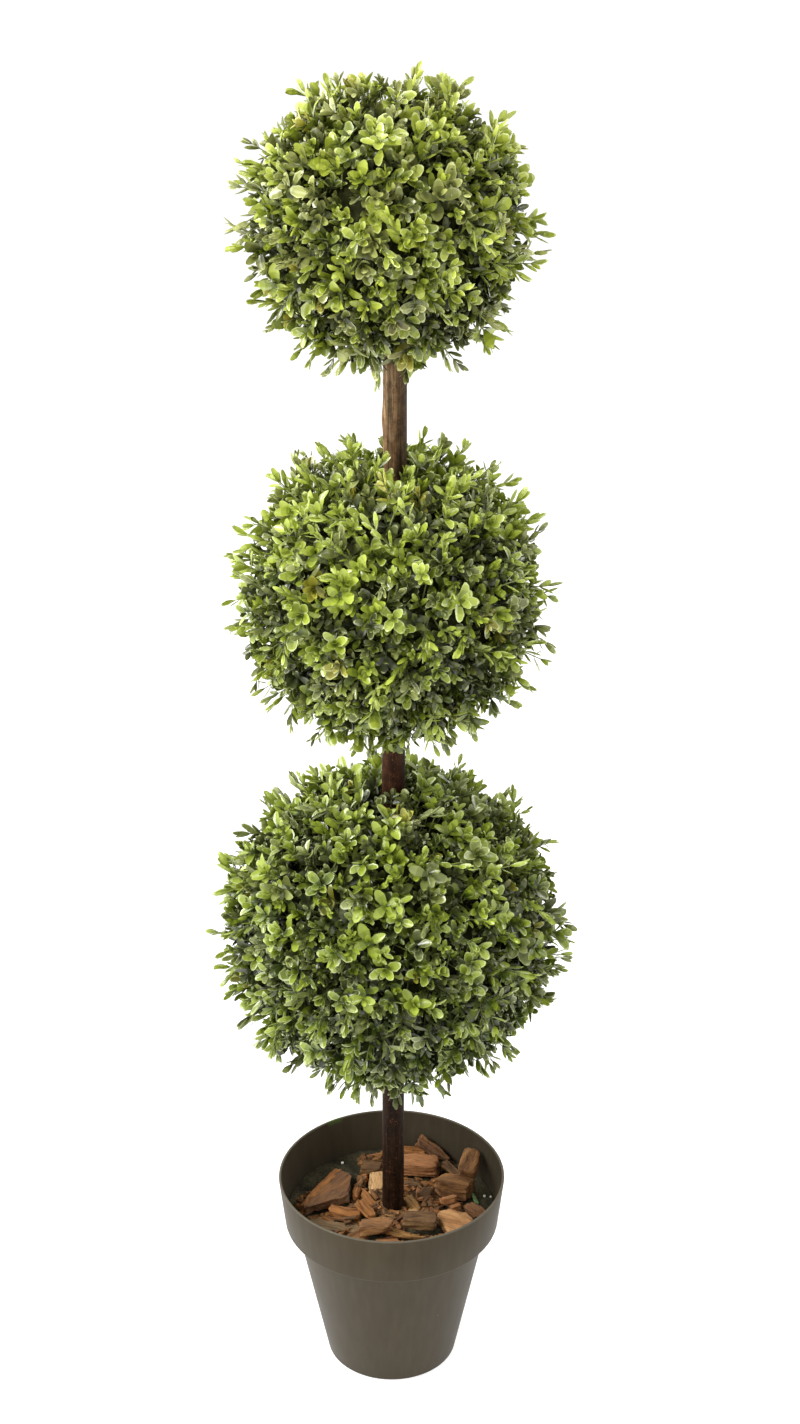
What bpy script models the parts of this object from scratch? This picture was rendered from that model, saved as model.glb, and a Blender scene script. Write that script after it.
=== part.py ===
"""A potted artificial topiary tree: three clipped balls of box foliage on one wooden pole.

The pole stands in a filled plastic pot whose filler is covered with bark chips.
Units are metres, +Z is up, and the origin is the middle of the pot's flat underside.
"""

import math
import random

import bmesh
import bpy
from mathutils import Matrix, Vector, noise
from mathutils.bvhtree import BVHTree

# Driving dimensions.
TREE_HEIGHT = 1.200
POT_HEIGHT = 0.188
POT_RIM_RADIUS = 0.1021
COLLAR_BOTTOM_Z = 0.1399
COLLAR_BOTTOM_RADIUS = 0.0965
POT_SHOULDER_RADIUS = 0.0872
POT_BASE_RADIUS = 0.0584
POT_WALL = 0.0022
POT_SEGMENTS = 48
FILLER_TOP_Z = 0.149
POLE_FOOT_Z = 0.030
POLE_TOP_Z = 1.110
POLE_FOOT_RADIUS = 0.00975
POLE_TOP_RADIUS = 0.00950
POLE_POINTS = 14
CLEARANCE = 0.0003

# How far the middle of the pole has wandered along X at some heights: (height, shift).
POLE_DRIFT = ((0.00, 0.0010), (0.27, 0.0015), (0.60, 0.0022), (0.92, 0.0037), (1.20, 0.0045))

# The balls of foliage: the middle, and how far the tips reach along X, Y and Z.
TOP_REACH = (0.1242, 0.1242, 0.1275)
FOLIAGE_BALLS = (
    ("ball_bottom", (0.0000, 0.0, 0.4515), (0.1577, 0.1577, 0.1535), 11),
    ("ball_middle", (0.0011, 0.0, 0.7611), (0.1370, 0.1370, 0.1380), 12),
    ("ball_top", (-0.0022, 0.0, TREE_HEIGHT - TOP_REACH[2]), TOP_REACH, 13),
)
TUFT_DEPTH = 0.11
TUFT_PITCH = 0.046

# The bark chips, the lowest first: length, width, thickness, x and y in millimetres, then the turn
# about Z, the tilt of the long axis and the roll about it in degrees, and the far end's width share.
BARK_CHIPS = (
    (66, 37, 10, -60, 25, 57, 3, -10, 0.6),
    (42, 13, 7, -52, -33, -8, 0, 6, 0.7),
    (32, 14, 10, -42, -15, -5, 2, 6, 0.9),
    (32, 17, 8, -13, 31, 84, 4, -8, 0.9),
    (27, 8, 7, -32, 21, 82, 3, 0, 0.8),
    (21, 16, 9, -19, 57, -14, 4, 10, 0.8),
    (46, 25, 13, 20, 56, -6, 0, -10, 0.9),
    (30, 15, 9, 18, 79, -8, 4, -14, 0.8),
    (40, 27, 17, 59, 20, -14, 3, -8, 0.8),
    (17, 11, 8, 31, 15, 70, 5, 4, 0.8),
    (16, 12, 7, 20, 30, 10, 6, 4, 0.9),
    (13, 11, 8, 57, -4, 20, 4, 4, 0.8),
    (36, 27, 9, 60, -33, -16, 3, -6, 0.8),
    (24, 13, 8, 77, -11, -48, 4, 6, 0.8),
    (34, 21, 11, 25, -36, -10, 0, -6, 0.9),
    (23, 19, 9, -4, -58, 6, 0, -8, 0.9),
    (20, 15, 8, -29, -52, 34, 4, 5, 0.8),
    (22, 8, 6, -8, -30, 6, 5, 10, 0.8),
    (11, 9, 9, 20, -15, 30, 0, 0, 0.9),
    (24, 9, 6, 20, 1, -52, 6, 0, 0.7),
    (27, 9, 6, -24, -19, -60, 8, 0, 0.9),
    (50, 6, 4, 9, -52, -11, 4, 10, 0.5),
    (28, 9, 8, 55, 51, -52, 4, 14, 0.9),
    (26, 16, 10, 71, 41, 72, -18, 10, 0.7),
    (38, 13, 5, 40, 76, -28, 24, 12, 0.6),
)
DROP_HEIGHT = 0.215
DROP_STEP = 0.001
DROP_HALVINGS = 6

COLLECTION_NAME = "potted_triple_ball_topiary"


def clear_scene():
    for old in list(bpy.data.objects):
        bpy.data.objects.remove(old)


def make_collection(name):
    collection = bpy.data.collections.new(name)
    bpy.context.scene.collection.children.link(collection)
    return collection


def make_material(name, colour, roughness):
    material = bpy.data.materials.new(name)
    material.use_nodes = True
    shader = material.node_tree.nodes["Principled BSDF"]
    shader.inputs["Base Color"].default_value = (*colour, 1.0)
    shader.inputs["Roughness"].default_value = roughness
    shader.inputs["Metallic"].default_value = 0.0
    return material


def add_object(name, mesh, collection, material=None):
    obj = bpy.data.objects.new(name, mesh)
    collection.objects.link(obj)
    if material is not None:
        mesh.materials.append(material)
    return obj


def add_mesh(name, bm, collection, material=None):
    mesh = bpy.data.meshes.new(name)
    bm.to_mesh(mesh)
    bm.free()
    return add_object(name, mesh, collection, material)


# Turned shapes -------------------------------------------------------------------------------


def rounded_outline(corners, arc_steps=3):
    """Points along an outline of (radius, height, rounding), with each corner turned into an arc."""
    points = []
    last = len(corners) - 1
    for i, (r, z, rounding) in enumerate(corners):
        corner = Vector((r, z))
        if rounding == 0.0 or i in (0, last):
            points.append(corner)
            continue
        before = (Vector(corners[i - 1][:2]) - corner).normalized()
        after = (Vector(corners[i + 1][:2]) - corner).normalized()
        half_angle = before.angle(after) / 2
        middle = corner + (before + after).normalized() * rounding / math.sin(half_angle)
        start = corner + before * rounding / math.tan(half_angle) - middle
        end = corner + after * rounding / math.tan(half_angle) - middle
        sweep = start.angle_signed(end)
        for k in range(arc_steps + 1):
            turn = Matrix.Rotation(-sweep * k / arc_steps, 2)
            points.append(middle + turn @ start)
    return points


def turned_object(name, points, segments, collection, material=None):
    """A profile of (radius, height) points turned about Z by a Screw modifier."""
    bm = bmesh.new()
    verts = [bm.verts.new((p[0], 0.0, p[1])) for p in points]
    for a, b in zip(verts, verts[1:]):
        bm.edges.new((a, b))
    obj = add_mesh(name, bm, collection, material)
    screw = obj.modifiers.new("turn", "SCREW")
    screw.steps = segments
    screw.render_steps = segments
    screw.use_merge_vertices = True
    screw.merge_threshold = 0.00001
    screw.use_smooth_shade = True
    return obj


def inset_corners(corners, inset):
    """The corners of the line that runs inside an outline, at an even distance from it."""
    sides = []
    for start, end in zip(corners, corners[1:]):
        along = (Vector(end[:2]) - Vector(start[:2])).normalized()
        inward = Vector((along.y, -along.x))
        sides.append((Vector(start[:2]) + inward * inset, along, inward))
    first = Vector(corners[0][:2]) + sides[0][2] * inset
    moved = [(first.x, first.y, 0.0)]
    for (start, along, inward), (start_next, along_next, _), corner in zip(sides, sides[1:], corners[1:]):
        turn = along.x * along_next.y - along.y * along_next.x
        gap = start_next - start
        run = (gap.x * along_next.y - gap.y * along_next.x) / turn
        spot = start + along * run
        moved.append((spot.x, spot.y, corner[2] + inset * math.copysign(1.0, turn)))
    moved.append((0.0, moved[-1][1], 0.0))
    return moved


POT_CORNERS = (
    (POT_RIM_RADIUS, POT_HEIGHT, 0.0),
    (COLLAR_BOTTOM_RADIUS, COLLAR_BOTTOM_Z, 0.0034),
    (POT_SHOULDER_RADIUS, COLLAR_BOTTOM_Z, 0.0020),
    (POT_BASE_RADIUS, 0.0, 0.0034),
    (0.0, 0.0, 0.0),
)


def make_pot(collection):
    plastic = make_material("pot_plastic", (0.107, 0.089, 0.061), 0.55)
    pot = turned_object("pot", rounded_outline(POT_CORNERS), POT_SEGMENTS, collection, plastic)
    shell = pot.modifiers.new("wall", "SOLIDIFY")
    shell.thickness = POT_WALL
    shell.offset = -1.0
    shell.use_even_offset = True
    return pot


def make_filler(collection):
    """The cast filler that fills the pot and holds the pole."""
    corners = inset_corners(POT_CORNERS, POT_WALL + CLEARANCE)
    (r0, z0, _), (r1, z1, _) = corners[:2]
    edge_radius = r1 + (r0 - r1) * (FILLER_TOP_Z - z1) / (z0 - z1)
    corners[0] = (edge_radius, FILLER_TOP_Z, 0.0)
    outline = [Vector((0.0, FILLER_TOP_Z)), *rounded_outline(corners)]
    material = make_material("pot_filler", (0.040, 0.045, 0.033), 0.95)
    return turned_object("pot_filler", outline, POT_SEGMENTS, collection, material)


# The pole ------------------------------------------------------------------------------------


def pole_middle(z):
    """The middle of the pole at a height."""
    for (z0, x0), (z1, x1) in zip(POLE_DRIFT, POLE_DRIFT[1:]):
        if z <= z1:
            share = (z - z0) / (z1 - z0)
            return Vector((x0 + (x1 - x0) * share, 0.0, z))
    return Vector((POLE_DRIFT[-1][1], 0.0, z))


def pole_curve(name, collection, extra, lowest, highest):
    """A tapering round pole between two heights, wider all round by extra."""
    data = bpy.data.curves.new(name, "CURVE")
    data.dimensions = "3D"
    data.bevel_depth = 1.0
    data.bevel_resolution = 6
    data.use_fill_caps = True
    spline = data.splines.new("POLY")
    spline.points.add(POLE_POINTS - 1)
    for i, point in enumerate(spline.points):
        share = i / (POLE_POINTS - 1)
        z = lowest + share * (highest - lowest)
        point.co = (*pole_middle(z), 1.0)
        point.radius = POLE_FOOT_RADIUS + share * (POLE_TOP_RADIUS - POLE_FOOT_RADIUS) + extra
    curve = bpy.data.objects.new(name, data)
    collection.objects.link(curve)
    return curve


def mesh_from_curve(curve, name, collection, material=None):
    depsgraph = bpy.context.evaluated_depsgraph_get()
    mesh = bpy.data.meshes.new_from_object(curve.evaluated_get(depsgraph))
    obj = bpy.data.objects.new(name, mesh)
    obj.matrix_world = curve.matrix_world
    bm = bmesh.new()
    bm.from_mesh(mesh)
    bmesh.ops.remove_doubles(bm, verts=bm.verts, dist=0.00001)
    bmesh.ops.recalc_face_normals(bm, faces=bm.faces)
    bm.to_mesh(mesh)
    bm.free()
    if material is not None:
        mesh.materials.append(material)
    mesh.shade_smooth()
    mesh.set_sharp_from_angle(angle=math.radians(40))
    collection.objects.link(obj)
    bpy.data.objects.remove(curve)
    return obj


def make_pole(collection):
    wood = make_material("pole_wood", (0.062, 0.038, 0.026), 0.7)
    curve = pole_curve("trunk_route", collection, 0.0, POLE_FOOT_Z, POLE_TOP_Z)
    return mesh_from_curve(curve, "trunk", collection, wood)


def make_pole_cutter(collection):
    """The room that the pole needs in the filler and in the foliage."""
    curve = pole_curve(
        "trunk_room_route",
        collection,
        CLEARANCE,
        POLE_FOOT_Z - CLEARANCE,
        POLE_TOP_Z + CLEARANCE,
    )
    cutter = mesh_from_curve(curve, "trunk_room", collection)
    cutter.hide_render = True
    cutter.display_type = "WIRE"
    return cutter


def cut_away(obj, cutter):
    cut = obj.modifiers.new("room for the pole", "BOOLEAN")
    cut.operation = "DIFFERENCE"
    cut.object = cutter


# Foliage -------------------------------------------------------------------------------------


def make_foliage_ball(name, middle, reach, seed, collection, material):
    """A clipped ball of foliage: a round solid with uneven tufts, out to its furthest tips."""
    bm = bmesh.new()
    bmesh.ops.create_icosphere(bm, subdivisions=4, radius=1.0)
    mean_reach = sum(reach) / 3
    offset = Vector((seed * 3.7, seed * 1.3, seed * 2.1))
    for v in bm.verts:
        spot = v.co * mean_reach / TUFT_PITCH + offset
        tuft = 0.65 * noise.noise(spot) + 0.35 * noise.noise(spot * 1.9)
        v.co *= 1.0 + TUFT_DEPTH * tuft
    for axis in range(3):
        low = min(v.co[axis] for v in bm.verts)
        high = max(v.co[axis] for v in bm.verts)
        for v in bm.verts:
            v.co[axis] = ((v.co[axis] - low) / (high - low) * 2.0 - 1.0) * reach[axis]
    obj = add_mesh(name, bm, collection, material)
    obj.location = middle
    obj.data.shade_smooth()
    return obj


# Bark chips ----------------------------------------------------------------------------------


def chip_solid(length, width, thickness, taper, seed):
    """One broken chip: a convex lump that fills most of its length, width and thickness."""
    rng = random.Random(seed)
    bm = bmesh.new()
    bmesh.ops.create_cube(bm, size=1.0)
    bmesh.ops.subdivide_edges(bm, edges=bm.edges, cuts=1, use_grid_fill=True)
    for v in bm.verts:
        share = v.co.x + 0.5
        corner = sum(abs(c) > 0.25 for c in v.co) / 3
        shrink = 1.0 - 0.26 * corner * rng.random()
        squeeze = (1.0 - share * (1.0 - taper)) * (1.0 - 0.12 * rng.random())
        v.co = Vector((v.co.x * length * shrink, v.co.y * width * squeeze, v.co.z * thickness * shrink))
    bmesh.ops.delete(bm, geom=list(bm.edges), context="EDGES_FACES")
    hull = bmesh.ops.convex_hull(bm, input=bm.verts)
    inside = [g for g in hull["geom_interior"] if isinstance(g, bmesh.types.BMVert)]
    bmesh.ops.delete(bm, geom=inside, context="VERTS")
    bmesh.ops.recalc_face_normals(bm, faces=bm.faces)
    return bm


def tree_of(obj, matrix):
    """The search tree of an object's finished surface, placed by a matrix."""
    depsgraph = bpy.context.evaluated_depsgraph_get()
    mesh = obj.evaluated_get(depsgraph).data
    places = [matrix @ v.co for v in mesh.vertices]
    return BVHTree.FromPolygons(places, [p.vertices for p in mesh.polygons])


def seat_by_lowering(obj, size, turn, obstacles):
    """Lower an object along Z until it would come within the clearance of an obstacle."""
    room = Matrix.Diagonal([1.0 + 2.0 * CLEARANCE / s for s in size]).to_4x4()

    def hits(z):
        place = Matrix.Translation((obj.location.x, obj.location.y, z)) @ turn @ room
        tree = tree_of(obj, place)
        return any(tree.overlap(other) for other in obstacles)

    high = DROP_HEIGHT
    while not hits(high - DROP_STEP):
        high -= DROP_STEP
    low = high - DROP_STEP
    for _ in range(DROP_HALVINGS):
        middle = (low + high) / 2
        if hits(middle):
            low = middle
        else:
            high = middle
    obj.location.z = high


def make_bark_chips(collection, standing):
    bark = make_material("bark", (0.190, 0.087, 0.038), 0.85)
    bpy.context.view_layer.update()
    obstacles = [tree_of(obj, obj.matrix_world) for obj in standing]
    chips = []
    for i, (length, width, thickness, x, y, turn, tilt, roll, taper) in enumerate(BARK_CHIPS, start=1):
        size = [length / 1000, width / 1000, thickness / 1000]
        chip = add_mesh(f"bark_chip_{i:02d}", chip_solid(*size, taper, seed=i), collection, bark)
        spin = Matrix.Rotation(math.radians(turn), 4, "Z")
        lean = Matrix.Rotation(math.radians(tilt), 4, "Y")
        twist = Matrix.Rotation(math.radians(roll), 4, "X")
        attitude = spin @ lean @ twist
        chip.rotation_euler = attitude.to_euler()
        chip.location = (x / 1000, y / 1000, DROP_HEIGHT)
        bpy.context.view_layer.update()
        seat_by_lowering(chip, size, attitude, obstacles)
        bpy.context.view_layer.update()
        obstacles.append(tree_of(chip, chip.matrix_world))
        chips.append(chip)
    return chips


def main():
    clear_scene()
    parts = make_collection(COLLECTION_NAME)
    cutters = make_collection("cutters")

    cutter = make_pole_cutter(cutters)
    pot = make_pot(parts)
    filler = make_filler(parts)
    cut_away(filler, cutter)
    trunk = make_pole(parts)

    leaves = make_material("box_foliage", (0.100, 0.150, 0.030), 0.6)
    for name, middle, reach, seed in FOLIAGE_BALLS:
        ball = make_foliage_ball(name, middle, reach, seed, parts, leaves)
        cut_away(ball, cutter)

    make_bark_chips(parts, [pot, filler, trunk])


main()
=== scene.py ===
# %% [markdown]
# # A potted triple ball topiary
# Three clipped balls of artificial box foliage sit on one wooden pole. The pole stands in a plastic
# pot, and bark chips hide the cast filler that holds it. The imported model gives every solid its
# place and size, so this lesson only builds the finish: each new piece stands where a plain solid
# stands.

# %% Load the frame
import math
import random
from functools import partial

import bmesh
import bpy
import numpy as np
from mathutils import Matrix, Vector, noise
from mathutils.bvhtree import BVHTree


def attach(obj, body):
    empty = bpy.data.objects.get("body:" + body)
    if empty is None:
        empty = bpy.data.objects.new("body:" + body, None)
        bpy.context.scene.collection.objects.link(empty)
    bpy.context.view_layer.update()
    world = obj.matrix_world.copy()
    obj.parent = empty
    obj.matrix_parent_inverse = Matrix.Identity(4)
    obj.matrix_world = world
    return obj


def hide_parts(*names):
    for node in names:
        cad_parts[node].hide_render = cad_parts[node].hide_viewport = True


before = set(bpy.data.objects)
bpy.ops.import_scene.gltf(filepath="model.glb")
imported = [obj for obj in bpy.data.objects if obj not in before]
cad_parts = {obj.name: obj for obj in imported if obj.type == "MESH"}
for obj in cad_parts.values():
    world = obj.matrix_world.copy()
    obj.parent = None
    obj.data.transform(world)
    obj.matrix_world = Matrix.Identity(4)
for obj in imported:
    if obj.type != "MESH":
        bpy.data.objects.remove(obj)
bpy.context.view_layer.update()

# %% [markdown]
# ## Small helpers
# Three jobs come back all through the lesson: turning a given colour into the linear
# numbers that a shader takes, adding a node with its settings and links, and handing a finished mesh
# to the frame. A settings table keeps each material readable as a list of what feeds what, which is
# easier to learn from than a picture of wires. A colour in such a table is its hex value.

# %% Colours, nodes and pieces
MULTIPLY = {"data_type": "RGBA", "blend_type": "MULTIPLY", "Factor": 1.0}


def linear(hex_colour):
    """An sRGB hex colour as linear red, green, blue and alpha."""
    parts = [int(hex_colour[i:i + 2], 16) / 255 for i in (1, 3, 5)]
    return (*[c / 12.92 if c <= 0.04045 else ((c + 0.055) / 1.055) ** 2.4 for c in parts], 1.0)


def set_up(node, settings=None, links=None):
    """Sets a node's properties, inputs or colour stops by name, and links sources to its inputs."""
    for key, value in (settings or {}).items():
        if key == "stops":
            ramp = node.color_ramp.elements
            ramp.remove(ramp[1])
            for number, (position, colour) in enumerate(value):
                stop = ramp.new(position) if number else ramp[0]
                stop.position, stop.color = position, linear(colour)
        elif isinstance(key, str) and hasattr(node, key):
            setattr(node, key, value)
        else:
            is_colour = isinstance(value, str) and value.startswith("#")
            node.inputs[key].default_value = linear(value) if is_colour else value
    for key, source in (links or {}).items():
        node.id_data.links.new(source, node.inputs[key])


def add_node(tree, kind, settings=None, links=None):
    """Adds a node with its settings and links, and returns its outputs."""
    node = tree.nodes.new("ShaderNode" + kind)
    set_up(node, settings, links)
    return node.outputs


def new_material(name, colour, roughness, ior=1.5):
    """A material with one Principled shader: returns it, the way to add its nodes, and the shader."""
    material = bpy.data.materials.new(name)
    material.use_nodes = True
    shader = material.node_tree.nodes["Principled BSDF"]
    set_up(shader, {"Base Color": colour, "Roughness": roughness, "IOR": ior})
    material.diffuse_color = linear(colour)
    return material, partial(add_node, material.node_tree), shader


def mesh_of(bm, name):
    """Turns a bmesh into a mesh and lets the bmesh go."""
    mesh = bpy.data.meshes.new(name)
    bm.to_mesh(mesh)
    bm.free()
    return mesh


def hand_over(made, name, materials, stands_for=(), sharp_above=35):
    """Makes the object of a finished mesh or bmesh, hangs it on the root, and hides the plain solids it
    stands for.
    """
    mesh = mesh_of(made, name) if isinstance(made, bmesh.types.BMesh) else made
    for material in materials:
        mesh.materials.append(material)
    mesh.shade_smooth()
    if sharp_above:
        mesh.set_sharp_from_angle(angle=math.radians(sharp_above))
    piece = bpy.data.objects.new(name, mesh)
    bpy.context.scene.collection.objects.link(piece)
    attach(piece, "root")
    if stands_for:
        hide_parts(*stands_for)
    mesh.calc_loop_triangles()
    print(f"{name}: {len(mesh.loop_triangles)} triangles")
    return piece


# %% [markdown]
# ## Camera, light and floor
# The tree is seen from a little above, from far enough that its sides stay straight, so the lens is
# long. Product light is soft: a white surround lights every side, and a large square lamp high on
# the left gives the leaves their shine and the pole its darker right side. A lamp overhead, a low
# one for the pot and a weak one on the right open the shadows, and two behind the tree draw pale
# rims. Turning the camera a fifth of a degree puts the pole just left of the middle.

# %% Camera
camera_data = bpy.data.cameras.new("camera")
camera_data.lens = 71.75
camera_data.sensor_width = 36.0
camera = bpy.data.objects.new("camera", camera_data)
camera.location = (0.0, -2.116, 1.703)
camera.rotation_euler = (math.radians(90.0 - 26.36), 0.0, math.radians(-0.206))
bpy.context.scene.collection.objects.link(camera)
bpy.context.scene.camera = camera

# %% Light
world = bpy.data.worlds.new("white surround")
bpy.context.scene.world = world
world.use_nodes = True
sky = world.node_tree
seen = add_node(sky, "LightPath")["Is Camera Ray"]
strength = add_node(sky, "MapRange", {"To Min": 0.57, "To Max": 1.0}, {"Value": seen})
set_up(sky.nodes["Background"], {"Color": "#FFFFFF"}, {"Strength": strength[0]})
bpy.context.scene.view_settings.view_transform = "Standard"

# Name, place, what it points at, length of its side in metres, and power in watts.
LAMPS = (
    ("key lamp", (-1.95, -0.60, 2.00), (0.0, 0.0, 0.75), 0.80, 58.0),
    ("top lamp", (0.05, -0.85, 2.55), (0.0, 0.0, 0.70), 0.90, 18.0),
    ("low lamp", (-1.25, -1.75, 1.45), (0.0, 0.0, 0.45), 0.70, 14.0),
    ("fill lamp", (1.60, -1.50, 1.30), (0.0, 0.0, 0.60), 1.40, 7.0),
    ("left rim lamp", (-1.70, 1.15, 1.30), (0.0, 0.0, 0.70), 1.10, 24.0),
    ("right rim lamp", (1.70, 1.15, 1.10), (0.0, 0.0, 0.60), 1.10, 18.0),
)
for name, place, target, side, watts in LAMPS:
    lamp_data = bpy.data.lights.new(name, "AREA")
    lamp_data.size = side
    lamp_data.energy = watts
    lamp = bpy.data.objects.new(name, lamp_data)
    lamp.location = place
    lamp.visible_camera = False
    lamp.rotation_euler = (Vector(target) - Vector(place)).to_track_quat("-Z", "Y").to_euler()
    bpy.context.scene.collection.objects.link(lamp)

# %% Floor
floor_bm = bmesh.new()
bmesh.ops.create_grid(floor_bm, x_segments=1, y_segments=1, size=14.0)
floor = bpy.data.objects.new("floor", mesh_of(floor_bm, "floor"))
floor_paint, _, shader = new_material("white_floor_paint", "#D2D2D0", 0.9)
set_up(shader, {"Emission Color": "#FFFFFF", "Emission Strength": 0.66})
floor.data.materials.append(floor_paint)
bpy.context.scene.collection.objects.link(floor)

# %% [markdown]
# ## The plastic pot
# The real pot is moulded polypropylene, about 2 mm thick: a tapered body, and a taller collar that
# steps out at the top. It could be a solid cut hollow, but a moulding is one even wall, so its
# outer side is spun from a profile of five points, the corners are bevelled as the mould rounds
# them, and Solidify gives the wall its thickness inwards. A small Bevel then softens the lip.

# %% Pot shape
POT_WALL = 0.0022
POT_PROFILE = ((0.0, 0.0), (0.0584, 0.0), (0.0872, 0.1399), (0.0965, 0.1399), (0.1021, 0.188))
POT_STEPS = 160


def spun(profile, steps):
    """A profile of (radius, height) points spun once round Z, closed on the axis."""
    bm = bmesh.new()
    points = [bm.verts.new((r, 0.0, z)) for r, z in profile]
    edges = [bm.edges.new(pair) for pair in zip(points, points[1:])]
    bmesh.ops.spin(
        bm,
        geom=points + edges, axis=(0.0, 0.0, 1.0), cent=(0.0, 0.0, 0.0),
        angle=math.tau, steps=steps, use_merge=True,
    )
    bmesh.ops.remove_doubles(bm, verts=bm.verts, dist=0.00001)
    bmesh.ops.recalc_face_normals(bm, faces=bm.faces)
    return bm


def ring_edges(bm, radius, height):
    """The edges that run round the axis at one radius and height."""
    def on_ring(v):
        return abs(v.co.z - height) < 0.00001 and abs(v.co.xy.length - radius) < 0.00001
    return [e for e in bm.edges if on_ring(e.verts[0]) and on_ring(e.verts[1])]


pot_bm = spun(POT_PROFILE, POT_STEPS)
for (radius, height), rounding in zip(POT_PROFILE[1:4], (0.0024, 0.0016, 0.0022)):
    bmesh.ops.bevel(
        pot_bm,
        geom=ring_edges(pot_bm, radius, height),
        offset=rounding, segments=4, profile=0.5, material=-1, affect="EDGES",
    )
pot_bm.normal_update()
outward = sum(f.normal.xy.dot(f.calc_center_median().xy) * f.calc_area() for f in pot_bm.faces)
if outward < 0.0:
    bmesh.ops.reverse_faces(pot_bm, faces=pot_bm.faces)
print("pot faces point", "out" if outward > 0.0 else "in, now turned out")

# %% [markdown]
# ## Moulded polypropylene
# Charcoal-taupe polypropylene straight from the mould: matt, because the steel mould is etched with
# a fine grain, and a little streaky down the draft of the mould. Handling leaves it faintly dusty.
# The top edge of the lip is painted pale, partly as worn plastic and partly as a painted highlight
# along the edge, and at the back left the lip has a smear of leaf dye. The etched grain is
# about 0.3 mm, too fine to show in the render, so it is drawn at 0.9 mm. The streaks are 6 mm wide
# and run down the wall, so their pattern is stretched along Z.

# %% Pot material
pot_plastic, add, shader = new_material("moulded_polypropylene", "#3B3429", 0.5, ior=1.49)
place = add("TexCoord")["Object"]
streak_place = add("Mapping", {"Scale": (160.0, 160.0, 9.0)}, {"Vector": place})
streaks = add("TexNoise", {"Scale": 1.0, "Detail": 4.0}, {"Vector": streak_place[0]})
clouds = add("TexNoise", {"Scale": 22.0, "Detail": 5.0, "Roughness": 0.6}, {"Vector": place})
mottle = add("Math", {"operation": "ADD"}, {0: streaks["Fac"], 1: clouds["Fac"]})
taupe = add("ValToRGB", {"stops": [(0.30, "#352E24"), (0.50, "#3B3429"), (0.72, "#423B2F")]},
            {"Fac": add("Math", {"operation": "MULTIPLY", 1: 0.5}, {0: mottle[0]})[0]})
height = add("SeparateXYZ", {}, {0: place})["Z"]
# The top edge of the lip is painted pale: partly worn plastic, partly a painted highlight.
rubbed_and_highlit_lip = add("MapRange", {"From Min": 0.1868, "From Max": 0.1880, "To Max": 0.28}, {"Value": height})
specks = add("TexVoronoi", {"Scale": 95.0}, {"Vector": place})
speck_mask = add("MapRange", {"From Min": 0.055, "From Max": 0.03, "To Max": 0.45},
                 {"Value": specks["Distance"]})
chosen = add("SeparateColor", {}, {0: specks["Color"]})
rare = add("Math", {"operation": "GREATER_THAN", 1: 0.93}, {0: chosen[0]})
dust = add("Math", {"operation": "MULTIPLY"}, {0: speck_mask[0], 1: rare[0]})
near_smear = add("VectorMath", {"operation": "DISTANCE", 1: (-0.0530, 0.0850, 0.1880)}, {0: place})
smear_mask = add("MapRange", {"From Min": 0.0095, "From Max": 0.0060, "To Max": 0.75},
                 {"Value": near_smear["Value"]})
on_lip = add("MapRange", {"From Min": 0.1835, "From Max": 0.1855}, {"Value": height})
smear = add("Math", {"operation": "MULTIPLY"}, {0: smear_mask[0], 1: on_lip[0]})
colour = taupe["Color"]
for mask, laid_over in ((rubbed_and_highlit_lip, "#8D8778"), (dust, "#A39C8E"), (smear, "#4A5C30")):
    colour = add("Mix", {"data_type": "RGBA", 7: laid_over}, {"Factor": mask[0], 6: colour})[2]
grain = add("TexNoise", {"Scale": 1100.0, "Detail": 2.0}, {"Vector": place})
etched = add("Bump", {"Strength": 0.35, "Distance": 0.00012}, {"Height": grain["Fac"]})
sheen = add("MapRange", {"To Min": 0.42, "To Max": 0.60}, {"Value": clouds["Fac"]})
set_up(shader, {"Specular IOR Level": 0.18, "Specular Tint": "#EEDBB2"},
       {"Base Color": colour, "Roughness": sheen[0], "Normal": etched[0]})

# %% Finish the pot
pot = hand_over(pot_bm, "pot_shell", [pot_plastic], ["pot"], 25)
wall = pot.modifiers.new("wall", "SOLIDIFY")
wall.thickness = POT_WALL
wall.offset = -1.0
wall.use_even_offset = True
lip_round = pot.modifiers.new("lip", "BEVEL")
lip_round.width = 0.0007
lip_round.segments = 3
lip_round.limit_method = "ANGLE"
lip_round.angle_limit = math.radians(60)

# %% [markdown]
# ## The cast filler
# Under the bark the pot is filled with a dark, rough cast: it shows at the back left and at the right
# edge. A disc with a flat top would look cut, so a profile with many points is spun and its top is
# then pushed up and down by noise: broad swells of 30 mm, and a crumb of 3 mm. A few loose white
# beads and a snip of green film lie on it.

# %% Filler shape
FILLER_TOP, FILLER_RADIUS = 0.149, 0.0948
RINGS = 46
filler_profile = [(FILLER_RADIUS * i / RINGS, FILLER_TOP) for i in range(RINGS + 1)]
filler_profile += [(0.0935, 0.1442), (0.0840, 0.1370), (0.0560, 0.0030), (0.0, 0.0030)]
filler_bm = spun(filler_profile, 150)
for v in filler_bm.verts:
    if v.co.z > FILLER_TOP - 0.001:
        swell = noise.noise(v.co * 33.0)
        crumb = noise.noise(v.co * 210.0) + 0.6 * noise.noise(v.co * 520.0)
        v.co.z += 0.0011 * swell + 0.0009 * crumb
bmesh.ops.recalc_face_normals(filler_bm, faces=filler_bm.faces)

# %% [markdown]
# ## Dark cast filler
# The filler is a cement and grit cast, stained dark with a green tinge where it has stayed damp, and
# quite dull. Grit of 1.5 mm gives its speckle, a wash 20 mm wide turns it from near black to the
# grey-brown of dry dust, and both roughen the light.

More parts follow.
